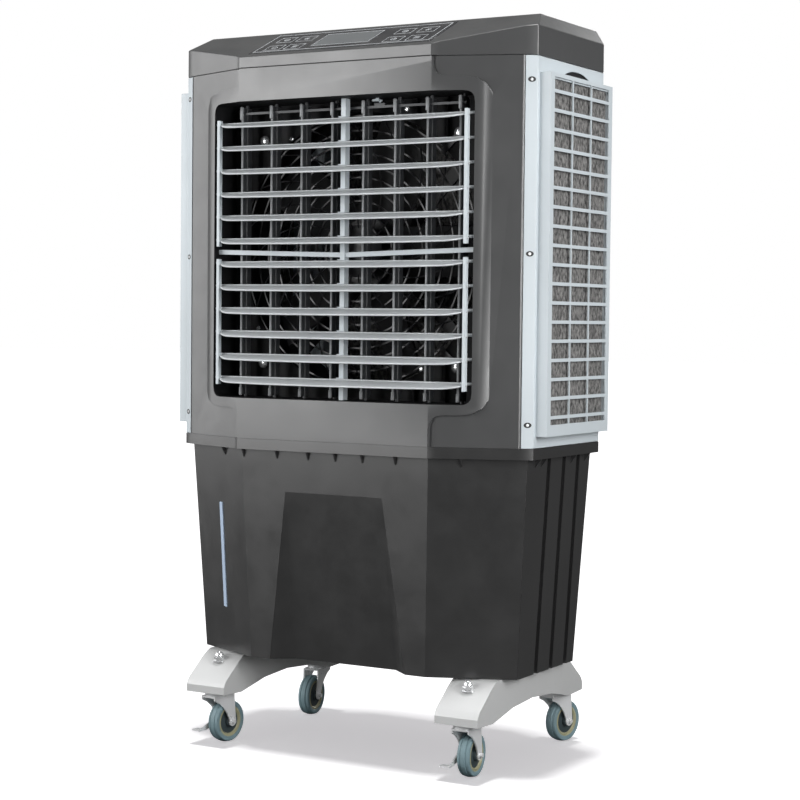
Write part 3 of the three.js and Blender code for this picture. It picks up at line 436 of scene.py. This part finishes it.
# Faces in the finger notch get painted shade: the black material stands in for the shade there.
def notch_shadow(middle, face):
    return NOTCH_LOW < middle.z < NOTCH_HIGH and abs(middle.x) < NOTCH_FLOOR_X + 1.1 and abs(middle.y) < 95


def foot_shoulder(middle, edge):
    return 109 < middle.z < 161 and abs(abs(middle.x) - 250) > 38


def foot_base(middle, edge):
    return middle.z < 110


print("choosers ready")

# %% [markdown]
# Every moulding is now softened with a radius that suits its size, and takes the place of its measured node.

# %% Softened mouldings
softened("top_cover", 3.0, DARK, segments=3)
softened("control_panel", 0.8, PANEL)
# The duct's inside faces take the second material, painted shade.
softened("front_bezel", 1.6, [DARK, DUCT_SHADE], shortest=3.0, wanted=outside_sockets,
         first=[(1.6, 2, raised_shoulder), (3.2, 3, outer_upright)], inside=duct_shade_faces)
softened("water_tank", 2.6, TANK, segments=3, wanted=tank_outside, crease=15, first=[(8.0, 4, tank_corner)])
for side in ("left", "right"):
    # The finger notch faces take the black material as painted shade.
    softened(f"side_panel_{side}", 1.4, [WHITE, BLACK_AND_SHADE], reshape=deepen_notch, inside=notch_shadow)
    softened(f"foot_{side}", 1.2, FOOT, shortest=8.0, wanted=foot_base, first=[(7.0, 4, foot_shoulder)])
softened("rear_panel", 1.4, WHITE)
for side in ("left", "right", "rear"):
    softened(f"pad_frame_{side}", 0.9, WHITE, body=f"pad_frame_{side}", shortest=4.0)
softened("grille_cross", 1.2, WHITE)
for bank in ("upper", "lower"):
    for side in ("left", "right"):
        softened(f"link_bar_{bank}_{side}", 0.9, WHITE, body=f"link_bars_{bank}")
softened("swing_crank", 0.8, WHITE, body="swing_crank", shortest=1.0)
for end in ("front", "rear"):
    for side in ("left", "right"):
        softened(f"caster_fork_{end}_{side}", 0.7, ZINC, body=f"caster_{end}_{side}", shortest=1.5)
for side in ("left", "right"):
    softened(f"brake_pedal_front_{side}", 0.6, ZINC, body=f"brake_front_{side}", shortest=1.5)
print("mouldings softened")

# %% [markdown]
# Some nodes are seen only through the louvres, or have no edge that shows. They keep their measured shape and only
# get a material.

# %% Nodes that keep their shape
kept = {
    # The fan deck deep in the duct takes the same painted shade.
    "swing_motor": ZINC, "fan_motor": BLACK_AND_SHADE, "fan_deck": DUCT_SHADE, "level_window": STRIP, "water_pump": BLACK_AND_SHADE,
    "water_distributor": WHITE, "swing_rod": VANE,
    "pad_left": PAD_SIDE, "pad_right": PAD_SIDE, "pad_rear": PAD_REAR,
    "fan_impeller": BLACK_AND_SHADE,
}
for name, surface in kept.items():
    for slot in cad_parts[name].material_slots:
        slot.material = surface
print("kept nodes:", len(kept))

# %% [markdown]
# ## Louvres
# A louvre is a thin blade with a bowed front edge, hinged along its straight back edge. A flat grid pulled into that
# outline, thickened and bevelled, gives the soft lip that catches the light along its whole front.

# %% Louvre blade
LOUVRE_COUNT = 12
LOUVRE_TILT = math.radians(16)
LOUVRE_HALF = 240
LOUVRE_AXIS_Y = -163


def louvre_height(index):
    return 1089 - 40 * index


def front_bow(x):
    u = abs(x) / LOUVRE_HALF
    return 35.6 - 5.0 * u ** 2 - 4.0 * u ** 6 - 13.0 * max(0.0, (u - 0.88) / 0.12) ** 2.0


def louvre_shape():
    shape = bmesh.new()
    bmesh.ops.create_grid(shape, x_segments=60, y_segments=3, size=0.5)
    for vert in shape.verts:
        x = (abs(vert.co.x) * 2) ** 0.85 * math.copysign(LOUVRE_HALF, vert.co.x)
        share = 0.5 - vert.co.y
        vert.co = (mm(x), mm(-share * front_bow(x)), 0)
    bmesh.ops.solidify(shape, geom=shape.faces[:], thickness=mm(2.4))
    bmesh.ops.translate(shape, verts=shape.verts, vec=(0, 0, mm(1.2)))
    bmesh.ops.recalc_face_normals(shape, faces=shape.faces)
    rim = [edge for edge in shape.edges if edge.calc_face_angle(0) > math.radians(60)]
    bmesh.ops.bevel(shape, geom=rim, offset=mm(0.85), segments=2, profile=0.5, affect="EDGES", material=-1)
    centre = sum((v.co.z for v in shape.verts)) / len(shape.verts)
    bmesh.ops.translate(shape, verts=shape.verts, vec=(0, 0, -centre))
    rod_turn = Matrix.Rotation(math.pi / 2, 4, "Y")
    bmesh.ops.create_cone(shape, cap_ends=True, segments=16, radius1=mm(2.5), radius2=mm(2.5), depth=mm(518),
                          matrix=rod_turn)
    for side in (-1, 1):
        pin = Matrix.Translation((side * mm(244.2), mm(-11), 0)) @ rod_turn
        bmesh.ops.create_cone(shape, cap_ends=True, segments=12, radius1=mm(1.5), radius2=mm(1.5), depth=mm(9.6),
                              matrix=pin)
    return shape


for index in range(LOUVRE_COUNT):
    shape = louvre_shape()
    axis = Matrix.Translation(at(0, LOUVRE_AXIS_Y, louvre_height(index)))
    bmesh.ops.transform(shape, matrix=axis @ Matrix.Rotation(LOUVRE_TILT, 4, "X"), verts=shape.verts)
    name = f"louvre_{index + 1:02d}"
    finished(name + "_blade", shape, LOUVRE, name, [name], smooth=50)
print("louvres:", LOUVRE_COUNT)

# %% [markdown]
# ## Vanes
# Each vane is a thin upright plate with a round bead along its front edge and a boss near each end, where the
# moulding is thicker. The bead is what shows between the louvres, so it is made round. The bead and the bosses take
# a lighter grey as a painted highlight.

# %% Vanes
VANE_COUNT = 8
VANE_PITCH = 62
VANE_AXIS_Y = -130
BOSS_R = 2.9


def vane_shape():
    shape = bmesh.new()
    top, foot = 1119.5, 618.5
    plate = bmesh.ops.create_cube(shape, size=1)["verts"]
    bmesh.ops.scale(shape, vec=(mm(2.5), mm(28), mm(top - foot)), verts=plate)
    bmesh.ops.translate(shape, vec=(0, mm(-0.9), mm((top + foot) / 2)), verts=plate)
    bead, pivot = (-14.4, 1.9, foot, top), (0, 3.0, 612.8, 1126.2)
    bosses = (-16.6, BOSS_R, 1098, 1120.5), (-15.2, BOSS_R, 617.5, 632)
    for y, radius, low, high in (bead, pivot, *bosses):
        middle = Matrix.Translation((0, mm(y), mm((low + high) / 2)))
        rod = bmesh.ops.create_cone(shape, cap_ends=True, segments=14, radius1=mm(radius), radius2=mm(radius),
                                    depth=mm(high - low), matrix=middle)
        if radius == BOSS_R:
            rims = {edge for vert in rod["verts"] for edge in vert.link_edges if edge.calc_face_angle(0) > 1.2}
            bmesh.ops.bevel(shape, geom=list(rims), offset=mm(1.4), segments=3, profile=0.5, affect="EDGES",
                            material=-1)
    for face in shape.faces:
        # painted highlight: faces of the bead and bosses take the lighter grey
        face.material_index = int(face.calc_center_median().y < mm(-12.8))
    return shape


for index in range(VANE_COUNT):
    shape = vane_shape()
    x = (index - (VANE_COUNT - 1) / 2) * VANE_PITCH
    bmesh.ops.translate(shape, verts=shape.verts, vec=at(x, VANE_AXIS_Y, 0))
    name = f"vane_{index + 1}"
    finished(name + "_blade", shape, [VANE, VANE_HIGHLIGHT], name, [name], smooth=40)
print("vanes:", VANE_COUNT)

# %% [markdown]
# ## Wheels
# A caster wheel is turned: a soft tread with two grooves, a pale core ring and a sunken hub. Spinning half of its
# section round the axle makes all three, and faces take their material from how far out they lie.

# %% Wheels
WHEEL_R = 37.5
TRAIL = 26                          # kingpin to axle
CORE_FROM, TREAD_FROM = 22.4, 28.2
WHEEL_SECTION = [
    (4.4, 12.4), (9.5, 12.4), (10.2, 11.8), (10.6, 7.4), (13.5, 6.6), (22.0, 6.8), (23.2, 8.2), (24.4, 9.6),
    (26.0, 9.9), (27.6, 9.5), (29.0, 10.4), (32.0, 11.0), (34.3, 10.8), (35.6, 9.7), (36.1, 8.0), (36.4, 6.3),
    (35.6, 5.4), (35.6, 4.6), (37.1, 3.7), (37.4, 0.0),
]


def wheel_shape():
    shape = bmesh.new()
    section = WHEEL_SECTION + [(radius, -along) for radius, along in reversed(WHEEL_SECTION[:-1])]
    verts = [shape.verts.new((mm(along), mm(radius), 0)) for radius, along in section]
    edges = [shape.edges.new(pair) for pair in zip(verts, verts[1:] + verts[:1])]
    bmesh.ops.spin(shape, geom=verts + edges, cent=(0, 0, 0), axis=(1, 0, 0), angle=math.tau, steps=48,
                   use_merge=True)
    bmesh.ops.remove_doubles(shape, verts=shape.verts, dist=1e-6)
    bmesh.ops.recalc_face_normals(shape, faces=shape.faces)
    for face in shape.faces:
        radius = Vector(face.calc_center_median().yz).length * 1000
        face.material_index = 0 if radius > TREAD_FROM else 1 if radius > CORE_FROM else 2
    return shape


CASTERS = {"front_left": (-250, -166, -7), "front_right": (250, -166, 4.4),
           "rear_left": (-250, 166, -174), "rear_right": (250, 166, -13)}
for corner, (x, y, yaw) in CASTERS.items():
    shape = wheel_shape()
    kingpin = Matrix.Translation(at(x, y, 0)) @ Matrix.Rotation(math.radians(yaw), 4, "Z")
    bmesh.ops.transform(shape, matrix=kingpin @ Matrix.Translation((0, mm(TRAIL), mm(WHEEL_R))), verts=shape.verts)
    finished(f"wheel_{corner}_turned", shape, [TYRE, CORE, HUB], f"wheel_{corner}", [f"caster_wheel_{corner}"],
             smooth=28)
print("wheels:", len(CASTERS))

# %% [markdown]
# ## Small fixed parts
# Screws, nuts and bolts are turned or six-sided shapes. One helper spins a half section round its own axis, and one
# joins several such shapes into a single mesh, because they all sit still on the same body.

# %% Turned shapes and hex heads


def moved_into(shape, part, place):
    bmesh.ops.transform(part, matrix=place, verts=part.verts)
    carrier = bpy.data.meshes.new("carrier")
    part.to_mesh(carrier)
    part.free()
    shape.from_mesh(carrier)
    bpy.data.meshes.remove(carrier)


def turned(shape, section, place, steps=20):
    part = bmesh.new()
    verts = [part.verts.new((mm(radius), 0, mm(height))) for radius, height in section]
    edges = [part.edges.new(pair) for pair in zip(verts, verts[1:])]
    bmesh.ops.spin(part, geom=verts + edges, cent=(0, 0, 0), axis=(0, 0, 1), angle=math.tau, steps=steps,
                   use_merge=True)
    bmesh.ops.remove_doubles(part, verts=part.verts, dist=1e-6)
    bmesh.ops.recalc_face_normals(part, faces=part.faces)
    moved_into(shape, part, place)


def hexagon(shape, radius, low, high, place, chamfer=0.6):
    part = bmesh.new()
    bmesh.ops.create_cone(part, cap_ends=True, segments=6, radius1=mm(radius), radius2=mm(radius),
                          depth=mm(high - low), matrix=Matrix.Translation((0, 0, mm((low + high) / 2))))
    rim = [edge for edge in part.edges if all(vert.co.z > mm((low + high) / 2) for vert in edge.verts)]
    bmesh.ops.bevel(part, geom=rim, offset=mm(chamfer), segments=2, profile=0.5, affect="EDGES", material=-1)
    moved_into(shape, part, place)


def facing(place, direction, spin=0.0):
    turned_to = Vector(direction).to_track_quat("Z", "Y").to_matrix().to_4x4()
    return Matrix.Translation(place) @ turned_to @ Matrix.Rotation(spin, 4, "Z")


print("turning helpers ready")

# %% [markdown]
# The nut on each foot is an acorn nut: a washer, a hexagon and a dome, bright plated so that it mirrors the room.

# %% Acorn nuts on the feet
WASHER = [(0, 0), (11.5, 0), (11.5, 1.6), (0, 1.6)]
DOME = [(0, 8.9), (8.2, 8.9), (8.2, 11.0), (7.2, 15.0), (4.8, 17.8), (1.8, 19.0), (0, 19.2)]
nuts = bmesh.new()
for x in (-250, 250):
    for y in (-157, 157):
        base = Matrix.Translation(at(x, y, 144.5))
        turned(nuts, WASHER, base, 28)
        hexagon(nuts, 10.0, 1.6, 9.0, base)
        turned(nuts, DOME, base, 28)
finished("foot_acorn_nuts", nuts, CHROME, "cabinet", smooth=30)
print("acorn nuts: 4")

# %% [markdown]
# The fan deck is held by four large bolts in the corners, beyond the round opening. They are zinc plated, and they
# are the brightest spots inside the dark outlet.

# %% Fan deck bolts and screws
BOLT_PLACE = 194.5                  # sideways and up or down from the fan's axis
bolts = bmesh.new()
for x in (-BOLT_PLACE, BOLT_PLACE):
    for z in (FAN_Z - BOLT_PLACE, FAN_Z + BOLT_PLACE):
        spot = facing(at(x, -107.7, z), (0, -1, 0), spin=0.3)
        turned(bolts, [(0, 0), (10, 0), (9.6, 1.2), (8.2, 2.6), (5.6, 3.8), (2.6, 4.4), (0, 4.5)], spot, 24)
for x, z in ((-140, 1066), (125, 670), (-208, 735), (92, 1108)):
    spot = facing(at(x, -104.2, z), (0, -1, 0))
    turned(bolts, [(0, 0), (4.4, 0), (4.4, 0.8), (3.2, 2.2), (0, 2.6)], spot, 14)
finished("deck_bolts", bolts, CHROME, "cabinet", smooth=30)
print("deck bolts in")

# %% [markdown]
# The white panels are screwed to the corner strips, three screws in each. A screw lies in a shallow oval well. Its
# shade is painted: a thin black oval on the strip under the screw, so it reads as a small dark mark with a bright
# dot.

# %% Screws of the side and rear panels
screws = bmesh.new()
well_shades = bmesh.new()
for x_side in (-1, 1):
    for y_side in (-1, 1):
        for z in (584, 861, 1141):
            outward = Vector((0.532 * x_side, 0.847 * y_side, 0))
            spot = facing(at(339.6 * x_side, 132.3 * y_side, z), outward)
            well = spot @ Matrix.Diagonal((1.15, 0.8, 1.0, 1.0))
            # painted shade: a thin black oval on the strip stands in for the shade in the screw's well
            turned(well_shades, [(0, 0.05), (5.6, 0.05), (5.6, 0.25), (0, 0.25)], well, 20)
            turned(screws, [(0, 0.2), (2.4, 0.2), (2.1, 0.6), (1.0, 0.8), (0, 0.6)], spot, 14)
finished("panel_screw_well_shades", well_shades, BLACK_AND_SHADE, "cabinet", smooth=30)
finished("panel_screws", screws, ZINC, "cabinet", smooth=30)
print("panel screws: 12")

# %% [markdown]
# Small gussets stiffen the tank's rim band from below. Each is a wedge: full depth under the band, nothing at its
# foot. A cube with its outer lower edge pushed in makes one.

# %% Gussets under the rim band


def gusset(shape, x, y, heading, depth=7.0, tall=15.0, thick=3.0):
    verts = bmesh.ops.create_cube(shape, size=1)["verts"]
    bmesh.ops.scale(shape, vec=(mm(thick), mm(depth), mm(tall)), verts=verts)
    bmesh.ops.translate(shape, vec=(0, mm(-depth / 2), mm(-tall / 2)), verts=verts)
    for vert in verts:
        if vert.co.z < mm(-tall / 2) and vert.co.y < mm(-depth / 2):
            vert.co.y = 0
    lean = Matrix.Translation(at(x, y, 527.2)) @ Matrix.Rotation(heading, 4, "Z")
    bmesh.ops.transform(shape, matrix=lean, verts=verts)


gussets = bmesh.new()
for x in (-180, -111, -48, 6.5, 60, 124):
    gusset(gussets, x, -185.5, 0.0)
    gusset(gussets, x, 185.5, math.pi)
for side in (-1, 1):
    slant = math.atan2(67.4, 149.3) * side
    share = 0.33
    x, y = side * (185.7 + 149.3 * share), -(186.0 - 67.0 * share)
    gusset(gussets, x, y, slant, depth=9.0)
    gusset(gussets, x, -y, math.pi - slant, depth=9.0)
    for y in (-90, -68, 46, 100):
        gusset(gussets, side * 334.5, y, side * math.pi / 2, depth=11.0)
finished("tank_gussets", gussets, TANK, "cabinet", smooth=20)
print("gussets in")

# %% [markdown]
# Each louvre clicks into a small open clip on the centre post. The clip is a part ring behind the hinge rod, so the
# blade can tilt in front of it.

# %% Louvre clips on the post
clips = bmesh.new()
for index in range(LOUVRE_COUNT):
    axis = at(0, LOUVRE_AXIS_Y, louvre_height(index))
    corners = [(2.9, -7), (4.6, -7), (4.6, 7), (2.9, 7)]
    verts = [clips.verts.new((mm(x), mm(radius), 0)) for radius, x in corners]
    profile = [clips.faces.new(verts)]
    start = Matrix.Rotation(math.radians(-105), 4, "X")
    bmesh.ops.transform(clips, matrix=Matrix.Translation(axis) @ start, verts=verts)
    bmesh.ops.spin(clips, geom=profile, cent=axis, axis=(1, 0, 0), angle=math.radians(210), steps=12)
bmesh.ops.recalc_face_normals(clips, faces=clips.faces)
finished("louvre_clips", clips, WHITE, "cabinet", smooth=30)
print("clips:", LOUVRE_COUNT)

# %% [markdown]
# ## Fan guard
# The guard keeps fingers out of the fan: thin rings a finger apart, welded to wires that curve out from the middle
# like the arms of a spiral. A small square section swept round the axis is enough for a ring, and a swept wire is a
# curve with a round bevel, turned into a mesh.

# %% Guard rings and spiral wires
GUARD_Y = -106.2
GUARD_RINGS = (46, 66, 86, 106, 126, 146, 166, 186, 206, 231)
SPIRAL_WIRES = 20
SPIRAL_FROM, SPIRAL_REACH, SPIRAL_STEPS = 40, 191, 11


def wire_ring(shape, radius, thick=1.25, steps=72):
    half = mm(thick)
    corners = [(-half, -half), (half, -half), (half, half), (-half, half)]
    verts = [shape.verts.new((mm(radius) + across, mm(GUARD_Y) + deep, 0)) for across, deep in corners]
    profile = [shape.faces.new(verts)]
    bmesh.ops.spin(shape, geom=profile, cent=(0, 0, 0), axis=(0, 1, 0), angle=math.tau, steps=steps, use_merge=True)


guard = bmesh.new()
for radius in GUARD_RINGS:
    wire_ring(guard, radius)
turned(guard, [(0, -1.4), (44, -1.4), (46, 0), (44, 1.4), (0, 1.4)],
       Matrix.Translation((0, mm(GUARD_Y), 0)) @ Matrix.Rotation(math.pi / 2, 4, "X"), 40)
for spoke in range(SPIRAL_WIRES):
    arms = bpy.data.curves.new("spiral_wire", "CURVE")
    arms.dimensions = "3D"
    arms.bevel_depth = mm(1.3)
    arms.bevel_resolution = 1
    line = arms.splines.new("POLY")
    line.points.add(SPIRAL_STEPS)
    for step, point in enumerate(line.points):
        share = step / SPIRAL_STEPS
        radius = SPIRAL_FROM + SPIRAL_REACH * share
        bend = spoke * math.tau / SPIRAL_WIRES + 0.75 * share ** 1.3
        point.co = (mm(radius * math.cos(bend)), mm(GUARD_Y - 1.4), mm(radius * math.sin(bend)), 1)
    holder = bpy.data.objects.new("spiral_wire", arms)
    bpy.context.collection.objects.link(holder)
    swept = holder.to_mesh()
    guard.from_mesh(swept)
    holder.to_mesh_clear()
    bpy.data.objects.remove(holder)
for quarter in range(4):
    lug = bmesh.ops.create_cube(guard, size=1)["verts"]
    bmesh.ops.scale(guard, vec=(mm(50), mm(2.6), mm(9)), verts=lug)
    spun = Matrix.Rotation(math.radians(45 + 90 * quarter), 4, "Y")
    bmesh.ops.transform(guard, matrix=spun @ Matrix.Translation((mm(254), mm(GUARD_Y), 0)), verts=lug)
bmesh.ops.translate(guard, verts=guard.verts, vec=at(0, 0, FAN_Z))
bmesh.ops.recalc_face_normals(guard, faces=guard.faces)
finished("guard_wires", guard, WIRE, "cabinet", ["fan_guard"], smooth=40)
print("guard rings:", len(GUARD_RINGS), "spiral wires:", SPIRAL_WIRES)

# %% [markdown]
# ## Control face
# The panel is one printed film over flat keys. Only simple marks are drawn: a border line, a display window, eight
# key outlines and plain symbols without letters. Each stands a few tenths of a millimetre proud of the film.

# %% Panel print
SLOPE = math.radians(25)
SLOPE_FRONT_Y, SLOPE_FRONT_Z = -195, 1200
INK = 0.25                          # thickness of the print


def on_slope(x, y):
    height = SLOPE_FRONT_Z + (y - SLOPE_FRONT_Y) * math.tan(SLOPE)
    face = Matrix.Translation(at(x, y, height)) @ Matrix.Rotation(SLOPE, 4, "X")
    return face @ Matrix.Translation((0, 0, mm(0.5)))


def slab(shape, place, width, length, thick):
    verts = bmesh.ops.create_cube(shape, size=1)["verts"]
    bmesh.ops.scale(shape, vec=(mm(width), mm(length), mm(thick)), verts=verts)
    bmesh.ops.translate(shape, vec=(0, 0, mm(thick / 2)), verts=verts)
    bmesh.ops.transform(shape, matrix=place, verts=verts)


def outline_print(shape, x, y, width, length, line):
    for side in (-1, 1):
        slab(shape, on_slope(x, y) @ Matrix.Translation((0, mm(side * length / 2), 0)), width + line, line, INK)
        slab(shape, on_slope(x, y) @ Matrix.Translation((mm(side * width / 2), 0, 0)), line, length - line, INK)


def ring_print(shape, place, radius, line, sweep=360.0, start=0.0):
    inner, outer = mm(radius - line / 2), mm(radius + line / 2)
    section = (inner, 0), (outer, 0), (outer, mm(INK)), (inner, mm(INK))
    verts = [shape.verts.new((radial, 0, height)) for radial, height in section]
    turn = place @ Matrix.Rotation(math.radians(start), 4, "Z")
    profile = [shape.faces.new(verts)]
    bmesh.ops.transform(shape, matrix=turn, verts=verts)
    bmesh.ops.spin(shape, geom=profile, cent=turn.translation, axis=turn.to_3x3() @ Vector((0, 0, 1)),
                   angle=math.radians(sweep), steps=20, use_merge=sweep == 360.0)


PANEL_MIDDLE_Y = -135.8
marks = bmesh.new()
outline_print(marks, 0, PANEL_MIDDLE_Y, 346, 92, line=1.3)
outline_print(marks, -8, PANEL_MIDDLE_Y + 1, 112, 62, line=1.0)
KEYS = [(x, y) for x in (-140, -99, 97, 141) for y in (-160, -121)]
for order, (x, y) in enumerate(KEYS):
    outline_print(marks, x, y, 32, 26, line=0.7)
    middle = on_slope(x, y)
    if order % 4 == 0:
        ring_print(marks, middle, 5.0, 1.1, 300, 120)
        slab(marks, middle @ Matrix.Translation((0, mm(4), 0)), 1.1, 6, INK)
    elif order % 4 == 1:
        ring_print(marks, middle, 5.0, 1.1)
        slab(marks, middle, 6.5, 1.1, INK)
    elif order % 4 == 2:
        for rise_by in (-4, 0, 4):
            slab(marks, middle @ Matrix.Translation((0, mm(rise_by), 0)), 11, 1.1, INK)
    else:
        for spoke in range(3):
            slab(marks, middle @ Matrix.Rotation(spoke * math.pi / 3, 4, "Z"), 11, 1.2, INK)
bmesh.ops.recalc_face_normals(marks, faces=marks.faces)
finished("panel_print", marks, PRINT, "cabinet", smooth=30)
glass = bmesh.new()
slab(glass, on_slope(-8, PANEL_MIDDLE_Y + 1), 108, 58, 0.2)
finished("display_pane", glass, DISPLAY, "cabinet", smooth=30)
print("keys:", len(KEYS))
